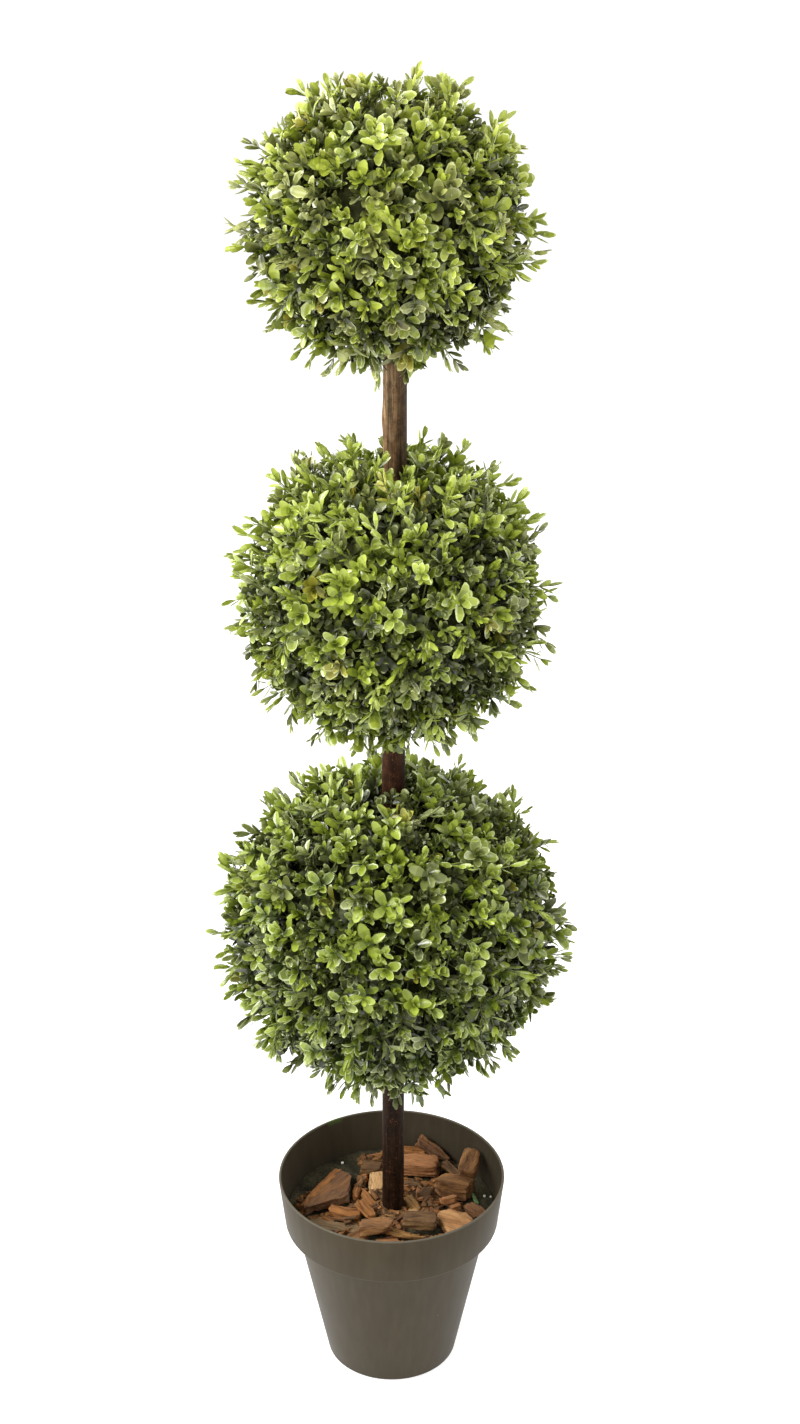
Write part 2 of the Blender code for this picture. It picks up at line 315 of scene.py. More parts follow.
# %% Filler material
cast_filler, add, shader = new_material("stained_cement_cast", "#33301F", 0.93)
place = add("TexCoord")["Object"]
grit = add("TexNoise", {"Scale": 620.0, "Detail": 4.0, "Roughness": 0.7}, {"Vector": place})
wash = add("TexNoise", {"Scale": 45.0, "Detail": 3.0}, {"Vector": place})
stain = add("ValToRGB", {"stops": [(0.35, "#3C382A"), (0.55, "#5A543F"), (0.72, "#786C51")]},
            {"Fac": wash["Fac"]})
speckle = add("ValToRGB", {"stops": [(0.35, "#8A8A8A"), (0.65, "#FFFFFF")]}, {"Fac": grit["Fac"]})
colour = add("Mix", MULTIPLY, {6: stain["Color"], 7: speckle["Color"]})
rough = add("Bump", {"Strength": 0.6, "Distance": 0.0008}, {"Height": grit["Fac"]})
set_up(shader, {"Specular IOR Level": 0.15}, {"Base Color": colour[2], "Normal": rough[0]})
filler = hand_over(filler_bm, "filler_cast", [cast_filler], ["pot_filler"])

# %% [markdown]
# ## Bark
# Bark chips are torn slabs: long fibres in one direction, layers across their thickness, frayed
# ends, and faces from orange inner bark to grey weathered outer bark. Each plain chip is already in
# its place, so a copy is merged, cut fine, carved along its own grain and bent by a millimetre or
# two. The grain directions come from the chip's own longest and widest directions, and they are
# stored on the mesh, so that the colours can follow them whichever way the chip lies.

# %% The grain of a chip
def grain_frame(bm):
    """The middle of a chip and its three directions as rows, the longest first."""
    points = np.array([v.co for v in bm.verts])
    middle = points.mean(axis=0)
    _, _, directions = np.linalg.svd(points - middle, full_matrices=False)
    if np.linalg.det(directions) < 0:
        directions[2] *= -1
    return Vector(middle), Matrix(directions.tolist())


def cut_fine(bm, longest):
    """Halves the long edges until none is longer than that."""
    for _ in range(8):
        long_edges = [e for e in bm.edges if e.calc_length() > longest]
        if not long_edges:
            break
        bmesh.ops.subdivide_edges(bm, edges=long_edges, cuts=1)
        bmesh.ops.triangulate(bm, faces=bm.faces)


# %% Carve bark
# In metres: the longest edge of a chip's mesh, how far its ends fray, and how deep its fibres are cut.
CHIP_STEP, FRAY, RELIEF = 0.0018, 0.0030, 0.0013
# Two places in the noise, far enough apart to sway and heave a chip independently.
SWAY_APART = (Vector((7.3, 2.1, 5.9)), Vector((3.7, 8.4, 1.6)))
EVERY_AXIS = {"use_axis_x": True, "use_axis_y": True, "use_axis_z": True}


def carve_bark(bm, seed, wear):
    """Wears a chip's corners, carves its fibres and frayed ends, and stores its place in the grain."""
    for _ in range(wear):
        bmesh.ops.smooth_vert(bm, verts=bm.verts, factor=0.5, **EVERY_AXIS)
    middle, axes = grain_frame(bm)
    layer = bm.verts.layers.float_vector.new("grain")
    half = max(abs((axes @ (v.co - middle)).x) for v in bm.verts)
    shift = Vector((seed * 0.173, seed * 0.311, seed * 0.127))
    bm.normal_update()
    moves = []
    for v in bm.verts:
        u = axes @ (v.co - middle)
        spot = u + shift
        fibre = noise.noise(Vector((spot.x * 55, spot.y * 430, spot.z * 430)))
        ridge = 1.0 - abs(noise.noise(Vector((spot.x * 28, spot.y * 190, spot.z * 260)))) * 2.0
        lump = noise.noise(spot * 75)
        plate = round(3.2 * noise.noise(Vector((spot.x * 38, spot.y * 120, seed)))) / 3.2
        sheet = round(spot.z * 380 + 1.2 * noise.noise(spot * 60))
        ragged = noise.noise(Vector((sheet * 3.7, spot.x * 45, spot.y * 45)))
        flat = abs((axes @ v.normal).z)
        depth = RELIEF * (0.55 * fibre + 0.5 * ridge + 0.8 * lump - 0.75)
        depth += 0.0020 * plate * flat + 0.0022 * ragged * (1.0 - flat)
        end = max(0.0, abs(u.x) / half - 0.72) / 0.28
        torn = noise.noise(Vector((seed, spot.y * 340, spot.z * 340)))
        pull = -math.copysign(FRAY * end * (0.5 + torn), u.x)
        sway, heave = [noise.noise(spot * 36 + apart) for apart in SWAY_APART]
        shove = Vector((pull, 0.0034 * sway, 0.0018 * heave))
        moves.append(v.normal * depth + axes.transposed() @ shove)
        v[layer] = spot
    for v, move in zip(bm.verts, moves):
        v.co += move


# %% [markdown]
# ## Bark colours
# Pine bark is a layered, dry, matt material. What the eye reads is the fibre: fine dark lines 0.7 mm
# apart that run along the chip, wider bands of paler and redder layers, and a bloom of grey on the
# weathered side. One recipe makes every tone of chip from three colours, so that a dozen chips
# of different ages still look like one bag of bark.

# %% Bark material
def bark_tone(name, dark, middle, light, band=0.5):
    """Dry pine bark in one tone, its bands and fibres following the stored grain."""
    material, add, shader = new_material(name, middle, 0.82, ior=1.45)
    grain = add("Attribute", {"attribute_name": "grain"})["Vector"]
    fibre_place = add("Mapping", {"Scale": (90.0, 1400.0, 1400.0)}, {"Vector": grain})
    fibres = add("TexNoise", {"Scale": 1.0, "Detail": 5.0, "Roughness": 0.65}, {"Vector": fibre_place[0]})
    layer_place = add("Mapping", {"Scale": (30.0, 120.0, 330.0)}, {"Vector": grain})
    layers = add("TexNoise", {"Scale": 1.0, "Detail": 3.0, "Distortion": 0.6}, {"Vector": layer_place[0]})
    blend = add("Mix", {"data_type": "FLOAT", "Factor": band}, {2: fibres["Fac"], 3: layers["Fac"]})
    tone = add("ValToRGB", {"stops": [(0.34, dark), (0.48, middle), (0.66, light)]}, {"Fac": blend[0]})
    bloom = add("TexNoise", {"Scale": 130.0, "Detail": 6.0, "Roughness": 0.7}, {"Vector": grain})
    bloom_mask = add("MapRange", {"From Min": 0.52, "From Max": 0.72, "To Max": 0.55},
                     {"Value": bloom["Fac"]})
    weathered = add("Mix", {"data_type": "RGBA", 7: "#80613A"}, {"Factor": bloom_mask[0], 6: tone["Color"]})
    cracks = add("MapRange", {"From Min": 0.30, "From Max": 0.44, "To Min": 0.28, "To Max": 0.86},
                 {"Value": fibres["Fac"]})
    colour = add("Mix", MULTIPLY, {6: weathered[2], 7: cracks[0]})
    relief = add("Bump", {"Strength": 0.7, "Distance": 0.0006}, {"Height": fibres["Fac"]})
    set_up(shader, {}, {"Base Color": colour[2], "Normal": relief[0]})
    return material


# %% Tones of bark
BARK = {
    "tan": bark_tone("dry_pine_bark_tan", "#543619", "#80562F", "#A6763D"),
    "pink": bark_tone("dry_pine_bark_pink", "#724829", "#9A6538", "#B68052", 0.35),
    "orange": bark_tone("inner_pine_bark_orange", "#623815", "#945E2A", "#B2763A", 0.6),
    "pale": bark_tone("cork_layer_pale", "#8A6238", "#BC925E", "#DBB47C", 0.7),
    "straw": bark_tone("split_sapwood_straw", "#694620", "#966C38", "#B5894C", 0.25),
    "brown": bark_tone("outer_pine_bark_brown", "#3A2512", "#644525", "#806034", 0.55),
    "grey": bark_tone("weathered_pine_bark_grey", "#55432D", "#806646", "#998058", 0.3),
    "slab": bark_tone("split_pine_bark_slab", "#45280F", "#66462A", "#8A5A2C", 0.45),
    "light": bark_tone("split_pine_bark_light", "#8A5A30", "#B07E4C", "#CC9C66", 0.5),
    "red": bark_tone("wet_pine_bark_red", "#3E2411", "#6B4626", "#875B33", 0.5),
}

# %% [markdown]
# ## The placed chips
# Twenty-five chips are large enough to have their own solid. The copy keeps that solid's place, so a
# chip never floats; it is swollen a little, because carving and wear take that much off again.
# Broken bark has no square corners, so planes square to its flat side cut corners off before the
# surface is carved. Two large flat chips are trimmed to an outline, and one has an end cut off. Some
# chips are rubbed rounder than others. The tones are given by name, from the pale cork piece beside
# the pole to the dark slab on the left. That slab, the largest, shows a strip of orange inner bark
# along its outer edge, as a second material on those faces.

# %% Break the outlines
def cut_off(bm, spot, outward):
    """Cuts away everything beyond a plane and closes the cut."""
    everything = bm.verts[:] + bm.edges[:] + bm.faces[:]
    cut = bmesh.ops.bisect_plane(bm, geom=everything, plane_co=spot, plane_no=outward, clear_outer=True)
    rims = [g for g in cut["geom_cut"] if isinstance(g, bmesh.types.BMEdge)]
    bmesh.ops.holes_fill(bm, edges=rims, sides=0)


def break_corners(bm, seed, count):
    """Breaks corners off a chip, square to its flat side."""
    rng = random.Random(seed)
    middle, axes = grain_frame(bm)
    half = [max(abs((axes @ (v.co - middle))[i]) for v in bm.verts) for i in (0, 1)]
    for corner in rng.sample(((1, 1), (1, -1), (-1, 1), (-1, -1)), count):
        lean = math.radians(rng.uniform(25.0, 65.0))
        across = Vector((corner[0] * math.cos(lean) / half[0], corner[1] * math.sin(lean) / half[1], 0.0))
        depth = rng.uniform(0.92, 1.20) / across.length
        across = axes.transposed() @ (across.normalized() + Vector((0.0, 0.0, rng.uniform(-0.3, 0.3))))
        cut_off(bm, middle + across.normalized() * depth, across)


OUTLINE_ROOM = 1.45


def trim_to(bm, outline):
    """Widens a chip in plan, then trims it to an outline whose corners run anticlockwise."""
    middle = sum((v.co for v in bm.verts), Vector()) / len(bm.verts)
    target = sum((Vector(p) for p in outline), Vector((0.0, 0.0))) / len(outline)
    for v in bm.verts:
        v.co.xy = target + (v.co.xy - middle.xy) * OUTLINE_ROOM
    for start, end in zip(outline, outline[1:] + outline[:1]):
        cut_off(bm, (*start, 0.0), (end[1] - start[1], start[0] - end[0], 0.0))


# %% What each chip is like
CHIP_TONES = (
    "slab", "grey", "orange", "pale", "orange", "brown", "pink", "orange", "tan", "brown", "brown",
    "pink", "light", "red", "brown", "pink", "tan", "tan", "pale", "straw", "orange", "straw",
    "brown", "tan", "red",
)
# By chip number: rounds of smoothing, growth, corners broken off, and a plane that cuts an end off.
CHIP_WEAR = {1: 2, 7: 9, 9: 5, 13: 4, 15: 5, 16: 6, 19: 6, 24: 5}
CHIP_SWELL = {24: 1.22, 20: 1.1, 2: 1.28}
CHIP_BREAKS = {7: 1, 24: 1, 25: 2, 22: 1, 20: 1, 4: 1}
CHIP_CUTS = {9: ((0.0715, 0.0120, 0.0), (0.92, -0.38, 0.0))}
USUAL_WEAR, USUAL_SWELL, USUAL_BREAKS = 3, 1.05, 3
CHIP_SHARP = 50
CHIP_OUTLINES = {
    1: ((-0.0805, -0.0160), (-0.0660, -0.0105), (-0.0397, 0.0020), (-0.0395, 0.0405), (-0.0510, 0.0570),
        (-0.0860, -0.0100)),
    13: ((0.0391, -0.0240), (0.0520, -0.0465), (0.0560, -0.0490), (0.0750, -0.0310), (0.0670, -0.0150),
         (0.0410, -0.0165)),
}
SLAB_EDGE = (Vector((-0.0860, -0.0100, 0.0)), Vector((-0.0510, 0.0570, 0.0)))
STRIP_WIDTH, STRIP_RAGGED = 0.0065, 0.0050

# %% Carve the placed chips
chips = []
for number, tone in enumerate(CHIP_TONES, start=1):
    node = f"bark_chip_{number:02d}"
    chip_bm = bmesh.new()
    chip_bm.from_mesh(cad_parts[node].data)
    bmesh.ops.remove_doubles(chip_bm, verts=chip_bm.verts, dist=0.00001)
    if number in CHIP_OUTLINES:
        trim_to(chip_bm, CHIP_OUTLINES[number])
    else:
        swell = Matrix.Scale(CHIP_SWELL.get(number, USUAL_SWELL), 4)
        centred = Matrix.Translation(-grain_frame(chip_bm)[0])
        bmesh.ops.transform(chip_bm, matrix=swell, space=centred, verts=chip_bm.verts)
        if number in CHIP_CUTS:
            cut_off(chip_bm, *CHIP_CUTS[number])
        break_corners(chip_bm, number, CHIP_BREAKS.get(number, USUAL_BREAKS))
    cut_fine(chip_bm, CHIP_STEP)
    carve_bark(chip_bm, number, CHIP_WEAR.get(number, USUAL_WEAR))
    if number == 1:
        along = (SLAB_EDGE[1] - SLAB_EDGE[0]).normalized()
        for f in chip_bm.faces:
            spot = f.calc_center_median() - SLAB_EDGE[0]
            inside = abs(along.x * spot.y - along.y * spot.x)
            f.material_index = inside < STRIP_WIDTH + STRIP_RAGGED * noise.noise(spot * 120.0)
    tones = [BARK[tone], BARK["orange"]] if number == 1 else [BARK[tone]]
    chips.append(hand_over(chip_bm, f"chip_{number:02d}_{tone}", tones, [node], CHIP_SHARP))

# %% [markdown]
# ## Splinters and crumbs
# A bag of bark is mostly small stuff: splinters as long as a finger nail, flakes and crumbs that
# settle between the large chips and hide the filler. Three flakes have a place and are carved like
# the chips. Each of the others is a cube stretched, jittered and cut once. To lie as a real one does,
# a ray is dropped at both of its ends and at its middle, and it rests across what those rays hit, but
# never on top of a large chip, from which it would slide. The pieces are joined by tone, because they
# only differ in colour.

# %% Kinds of small bark
# How many of a kind, and the shortest and longest of their lengths, widths and thicknesses.
BIT_KINDS = (
    (170, (0.009, 0.018), (0.006, 0.011), (0.003, 0.006)),
    (240, (0.012, 0.028), (0.0026, 0.0055), (0.0014, 0.0028)),
    (260, (0.003, 0.008), (0.002, 0.005), (0.0015, 0.003)),
)
# How the bits of each kind are shared out over the tones.
BIT_SHARES = {"tan": 0.21, "orange": 0.14, "brown": 0.32, "straw": 0.07, "red": 0.18, "pink": 0.08}
MOST_TRIES = 9000
# In metres: how far out bark is dropped, how far out it may end, and how far it keeps from the pole.
POT_REACH, STREWN_REACH, POLE_GAP = 0.088, 0.086, 0.011
# Heights over the filler: of a bit's middle, of its ends, and how far an end, its middle and the
# other end may ride up on a large chip. The last is the sine of the steepest lean.
HIGHEST_MIDDLE, HIGHEST_END = 0.0145, 0.021
ON_CHIP = (0.0060, 0.0030, 0.0060)
STEEPEST = 0.62
FLAKE_WEAR = 5
# Tone, place, turn in degrees, length, width and thickness of the three loose flakes.
FLAKES = (
    ("tan", -0.0130, -0.0490, -4.0, 0.031, 0.017, 0.0085),
    ("pink", 0.0520, -0.0040, 20.0, 0.018, 0.011, 0.0070),
    ("orange", -0.0220, 0.0080, 110.0, 0.026, 0.008, 0.0070),
)

# %% What a piece rests on
def rest_of(meshes):
    """One search tree over several meshes."""
    joined = bmesh.new()
    for mesh in meshes:
        joined.from_mesh(mesh)
    found = BVHTree.FromBMesh(joined)
    joined.free()
    return found


def drop(ground, x, y):
    """Where a ray dropped at x, y lands, and the slope there."""
    spot, slope, _, _ = ground.ray_cast(Vector((x, y, 0.21)), Vector((0.0, 0.0, -1.0)))
    return spot, slope


def has_bark(x, y):
    """True where the pot is strewn: not on the bare filler at the back left and the right edge."""
    bare_left = x < -0.030 and y > 0.034 + 0.25 * (x + 0.030)
    bare_right = x > 0.070 and y > -0.004
    by_pole = math.hypot(x - 0.0013, y) < POLE_GAP
    return math.hypot(x, y) < STREWN_REACH and not (bare_left or bare_right or by_pole)


# %% Lay one piece
def lay(ground, x, y, turn, length):
    """The seat of a piece laid across what is under it: middle, along, across, up and the three rests."""
    reach = Vector((math.cos(turn), math.sin(turn))) * length / 2
    low, high = [drop(ground, x + reach.x * side, y + reach.y * side)[0] for side in (-1, 1)]
    spot, slope = drop(ground, x, y)
    if low is None or high is None or spot is None:
        return None
    along = (high - low).normalized()
    across = along.cross(slope).normalized()
    up = across.cross(along).normalized()
    if up.z < 0.0:
        up, across = -up, -across
    raised = max(0.0, spot.z - (low.z + high.z) / 2)
    return (low + high) / 2 + Vector((0.0, 0.0, raised)), along, across, up, (low, spot, high)


def add_bit(bm, layer, ground, big, rng, length, width, thickness):
    """Lays one small piece of bark across whatever lies under it. Returns True if it found room."""
    x, y = rng.uniform(-POT_REACH, POT_REACH), rng.uniform(-POT_REACH, POT_REACH)
    seat = lay(ground, x, y, rng.uniform(0.0, math.pi), length)
    if seat is None:
        return False
    middle, along, across, up, rests = seat
    if not has_bark(*rests[0].xy) or not has_bark(*rests[2].xy):
        return False
    heights = [p.z - FILLER_TOP for p in rests]
    if heights[1] > HIGHEST_MIDDLE or max(heights) > HIGHEST_END or abs(along.z) > STEEPEST:
        return False
    for p, allowed in zip(rests, ON_CHIP):
        on_chip = drop(big, p.x, p.y)[0]
        if on_chip is not None and on_chip.z > FILLER_TOP + allowed:
            return False
    middle = middle + up * thickness * 0.28
    taper = rng.uniform(0.35, 0.9)
    shift = Vector((rng.random(), rng.random(), rng.random()))
    before = len(bm.verts)
    bm.from_mesh(BIT_BLOCK)
    bm.verts.ensure_lookup_table()
    for v in bm.verts[before:]:
        share = v.co.x + 0.5
        wobble = [1.0 - 0.30 * rng.random() for _ in range(3)]
        squeeze = 1.0 - share * (1.0 - taper)
        u = Vector((v.co.x * length * wobble[0], v.co.y * width * squeeze * wobble[1],
                    v.co.z * thickness * wobble[2]))
        v[layer] = u + shift
        v.co = middle + along * u.x + across * u.y + up * u.z
    return True


# %% Lay the three flakes
laid = [filler.data] + [chip.data for chip in chips]
for number, (tone, x, y, turn, length, width, thickness) in enumerate(FLAKES, start=1):
    middle, along, across, up, _ = lay(rest_of(laid), x, y, math.radians(turn), length)
    flake_bm = bmesh.new()
    bmesh.ops.create_cube(flake_bm, size=1.0)
    bmesh.ops.scale(flake_bm, verts=flake_bm.verts, vec=(length, width, thickness))
    break_corners(flake_bm, 40 + number, USUAL_BREAKS)
    cut_fine(flake_bm, CHIP_STEP)
    carve_bark(flake_bm, 40 + number, FLAKE_WEAR)
    turned = Matrix((along, across, up)).transposed()
    for v in flake_bm.verts:
        v.co = middle + up * thickness * 0.4 + turned @ v.co
    name = f"bark_flake_{number}"
    chips.append(hand_over(flake_bm, name, [BARK[tone]], (), CHIP_SHARP))
    laid.append(chips[-1].data)

# %% Scatter the splinters and crumbs
block_bm = bmesh.new()
bmesh.ops.create_cube(block_bm, size=1.0)
bmesh.ops.subdivide_edges(block_bm, edges=block_bm.edges, cuts=1, use_grid_fill=True)
BIT_BLOCK = mesh_of(block_bm, "bit_block")
bit_rng = random.Random(5)
chip_tree = rest_of([chip.data for chip in chips])
for kind, (count, lengths, widths, thicknesses) in enumerate(BIT_KINDS):
    ground = rest_of(laid)
    for tone, tone_share in BIT_SHARES.items():
        bits_bm = bmesh.new()
        grain_layer = bits_bm.verts.layers.float_vector.new("grain")
        placed, tries = 0, 0
        while placed < count * tone_share and tries < MOST_TRIES:
            tries += 1
            size = [bit_rng.uniform(*span) for span in (lengths, widths, thicknesses)]
            placed += add_bit(bits_bm, grain_layer, ground, chip_tree, bit_rng, *size)
        bmesh.ops.recalc_face_normals(bits_bm, faces=bits_bm.faces)
        name = f"bark_bits_{kind}_{tone}"
        laid.append(hand_over(bits_bm, name, [BARK[tone]], (), CHIP_SHARP).data)

# %% [markdown]
# ## Beads and a snip of film
# Three white polystyrene beads, 2 to 3 mm across, have rolled to the edge of the filler, and a snip of
# green plastic film leans there. They are small, but they are what shows that the filler is bare. A
# bead is an icosphere of two subdivisions, dented by noise. Expanded polystyrene is white and matt,
# and the walls of its cells, 0.6 mm apart, show as a faint net. The snip is a grid bent along its
# length. Thin polyethylene film is smooth, but creases 2 mm apart break its shine and its green.

# %% Beads
BEADS = ((-0.0458, 0.0705, 0.0015), (0.0851, 0.0170, 0.0014), (0.0908, 0.0165, 0.0010))
polystyrene, add, shader = new_material("expanded_polystyrene", "#D9D4C8", 0.7)
place = add("TexCoord")["Object"]
cells = add("TexVoronoi", {"Scale": 1600.0}, {"Vector": place})
cell_tone = add("ValToRGB", {"stops": [(0.0, "#B9B3A4"), (0.5, "#E6E2D8")]}, {"Fac": cells["Distance"]})
pitted = add("Bump", {"Strength": 0.4, "Distance": 0.0002}, {"Height": cells["Distance"]})
set_up(shader, {}, {"Base Color": cell_tone[0], "Normal": pitted[0]})
filler_tree = rest_of([filler.data])
beads_bm = bmesh.new()
for x, y, radius in BEADS:
    rest = drop(filler_tree, x, y)[0]
    seat = Matrix.Translation((x, y, rest.z + radius * 0.9))
    for v in bmesh.ops.create_icosphere(beads_bm, subdivisions=2, radius=radius, matrix=seat)["verts"]:
        v.co += (v.co - seat.translation) * 0.12 * noise.noise(v.co * 900.0)
hand_over(beads_bm, "beads", [polystyrene], (), 0)

# %% Snip of film
film, add, shader = new_material("green_plastic_film", "#55713F", 0.4)
place = add("TexCoord")["Object"]
creases = add("TexNoise", {"Scale": 420.0, "Detail": 3.0}, {"Vector": place})
film_tone = add("ValToRGB", {"stops": [(0.35, "#456033"), (0.65, "#6F8F55")]}, {"Fac": creases["Fac"]})
creased = add("Bump", {"Strength": 0.5, "Distance": 0.0003}, {"Height": creases["Fac"]})
set_up(shader, {}, {"Base Color": film_tone[0], "Normal": creased[0]})
snip_bm = bmesh.new()
bmesh.ops.create_grid(snip_bm, x_segments=10, y_segments=3, size=1.0)
SNIP_FOOT = Vector((0.0783, 0.0060, drop(filler_tree, 0.0783, 0.0060)[0].z + 0.0004))
SNIP_HEAD = Vector((0.0728, 0.0190, SNIP_FOOT.z + 0.0040))
for v in snip_bm.verts:
    share, off = (v.co.x + 1.0) / 2.0, v.co.y
    bend = 0.0012 * math.sin(share * math.pi) + 0.0004 * off * off
    width = 0.0017 * (1.0 - 0.5 * share ** 2)
    v.co = SNIP_FOOT.lerp(SNIP_HEAD, share) + Vector((off * width, off * width * 0.35, bend))
snip = hand_over(snip_bm, "film_snip", [film], (), 0)
thick = snip.modifiers.new("film", "SOLIDIFY")
thick.thickness = 0.0003
thick.offset = 1.0

# %% [markdown]
# ## The wooden pole
# A straight natural branch, stained dark at the foot and left browner at the top, carries the balls.
# It is not a perfect cylinder: fine flutes run down it, one branch scar makes a low ring, and a
# shaved knot leaves a notch on the left. A ring of points is extruded upwards step by step and
# each step is shaped by a small table of scars and by noise that is stretched along the pole.

# %% Pole shape
POLE_FOOT, POLE_TOP = 0.030, 1.110
POLE_SIDES, POLE_STEP = 48, 0.0036
DRIFT_Z = (0.0, 0.27, 0.60, 0.92, 1.20)
DRIFT_X = (0.0010, 0.0015, 0.0022, 0.0037, 0.0045)
# Height, direction round the pole in degrees, half height, half width in degrees, swell in metres.
SCARS = (
    (0.9451, -100.0, 0.0016, 95.0, 0.00055),
    (0.9415, -100.0, 0.0012, 95.0, -0.00035),
    (0.9143, 176.0, 0.0090, 26.0, 0.00120),
    (0.9170, -158.0, 0.0065, 16.0, -0.00090),
    (0.8990, -70.0, 0.0040, 60.0, 0.00025),
    (0.6080, -60.0, 0.0030, 70.0, 0.00040),
    (0.2500, -110.0, 0.0050, 50.0, 0.00022),
    (0.2050, -40.0, 0.0060, 60.0, 0.00020),
)

# %% Middle and radius of the pole
def pole_middle(z):
    """The middle of the pole, which wanders a few millimetres to the right as it rises."""
    return Vector((float(np.interp(z, DRIFT_Z, DRIFT_X)), 0.0, z))


def pole_radius(z, turn):
    """The radius of the pole at a height and direction, with its flutes, dents and scars."""
    radius = 0.00975 - 0.00025 * (z - POLE_FOOT) / (POLE_TOP - POLE_FOOT)
    c, s = math.cos(turn), math.sin(turn)
    radius += 0.00016 * noise.noise(Vector((c * 4.2, s * 4.2, z * 22)))
    radius += 0.00010 * noise.noise(Vector((c * 9.5, s * 9.5, z * 30 + 7)))
    radius += 0.00022 * noise.noise(Vector((c * 0.9, s * 0.9, z * 16 + 3)))
    for height, direction, tall, wide, swell in SCARS:
        off = (math.degrees(turn) - direction + 180.0) % 360.0 - 180.0
        radius += swell * math.exp(-((z - height) / tall) ** 2 - (off / wide) ** 2)
    return min(radius, 0.0112)


# %% Draw the pole upwards
pole_bm = bmesh.new()
ring = bmesh.ops.create_circle(pole_bm, segments=POLE_SIDES, radius=1.0, cap_ends=True)["verts"]
layers = int((POLE_TOP - POLE_FOOT) / POLE_STEP)
loop = pole_bm.edges[:]
for v in ring:
    v.co.z = POLE_FOOT
for step in range(1, layers + 1):
    grown = bmesh.ops.extrude_edge_only(pole_bm, edges=loop)["geom"]
    loop = [g for g in grown if isinstance(g, bmesh.types.BMEdge)]
    for v in (g for g in grown if isinstance(g, bmesh.types.BMVert)):
        v.co.z = POLE_FOOT + step * POLE_STEP
bmesh.ops.holes_fill(pole_bm, edges=loop, sides=0)
for v in pole_bm.verts:
    turn = math.atan2(v.co.y, v.co.x)
    middle, radius = pole_middle(v.co.z), pole_radius(v.co.z, turn)
    v.co = middle + Vector((math.cos(turn) * radius, math.sin(turn) * radius, 0.0))
bmesh.ops.recalc_face_normals(pole_bm, faces=pole_bm.faces)

# %% [markdown]
# ## Stained branch wood
# Peeled branch wood, stained and dull. Up high it keeps a grey-brown with pinkish streaks; the middle
# length is mottled red-brown; the foot is stained almost black-brown with faint red flecks. Long fine
# grain lines are 0.8 mm apart, so the pattern is squeezed across the pole and stretched along it.
# The change from foot to top is a colour ramp on height. The left side is painted paler and the right side
# darker, more so higher up: painted light and shade from the key lamp on the left.

# %% Pole material
STAINS_BY_HEIGHT = (
    (0.16, "#3A2817"), (0.40, "#3D2817"), (0.60, "#5A3A26"), (0.78, "#8A6D50"), (0.95, "#B0966F"),
)
pole_wood, add, shader = new_material("stained_branch_wood", "#5A4534", 0.62, ior=1.48)
place = add("TexCoord")["Object"]
where = add("SeparateXYZ", {}, {0: place})
# Painted light and shade: the left of the pole is lightened and the right darkened, as the key lamp on the
# left falls on it.
side = add("MapRange", {"From Min": -0.005, "From Max": 0.009, "To Min": 1.35, "To Max": 0.38},
           {"Value": where["X"]})
by_height = add("ValToRGB", {"stops": STAINS_BY_HEIGHT}, {"Fac": where["Z"]})
line_place = add("Mapping", {"Scale": (1250.0, 1250.0, 32.0)}, {"Vector": place})
lines = add("TexNoise", {"Scale": 1.0, "Detail": 4.0, "Roughness": 0.6, "Distortion": 0.3},
            {"Vector": line_place[0]})
band_place = add("Mapping", {"Scale": (210.0, 210.0, 9.0)}, {"Vector": place})
bands = add("TexNoise", {"Scale": 1.0, "Detail": 3.0}, {"Vector": band_place[0]})
blotches = add("TexNoise", {"Scale": 150.0, "Detail": 4.0, "Roughness": 0.65}, {"Vector": place})
streaked = add("ValToRGB", {"stops": [(0.32, "#8C8C8A"), (0.50, "#D2CCC8"), (0.68, "#FFFFFF")]},
               {"Fac": lines["Fac"]})
banded = add("ValToRGB", {"stops": [(0.36, "#9C9C9E"), (0.50, "#DDD5D0"), (0.64, "#FFF0E8")]},
             {"Fac": bands["Fac"]})
mottled = add("ValToRGB", {"stops": [(0.38, "#BEB8B4"), (0.62, "#FFFFFF")]}, {"Fac": blotches["Fac"]})
colour = by_height["Color"]
for pattern in (streaked, banded, mottled):
    colour = add("Mix", MULTIPLY, {6: colour, 7: pattern[0]})[2]
# The painted side light and shade shows more higher up the pole.
side_shade_by_height = add("MapRange", {"From Min": 0.35, "From Max": 0.80}, {"Value": where["Z"]})
colour = add("Mix", MULTIPLY, {"Factor": side_shade_by_height[0], 6: colour, 7: side[0]})[2]
fleck = add("TexNoise", {"Scale": 480.0, "Detail": 2.0}, {"Vector": place})
fleck_mask = add("MapRange", {"From Min": 0.63, "From Max": 0.70, "To Max": 0.45}, {"Value": fleck["Fac"]})
flecked = add("Mix", {"data_type": "RGBA", 7: "#7A4630"}, {"Factor": fleck_mask[0], 6: colour})
relief = add("Bump", {"Strength": 0.5, "Distance": 0.0004}, {"Height": lines["Fac"]})
dull = add("MapRange", {"To Min": 0.5, "To Max": 0.75}, {"Value": blotches["Fac"]})
set_up(shader, {"Specular IOR Level": 0.13},
       {"Base Color": flecked[2], "Roughness": dull[0], "Normal": relief[0]})
hand_over(pole_bm, "wooden_pole", [pole_wood], ["trunk"], 60)
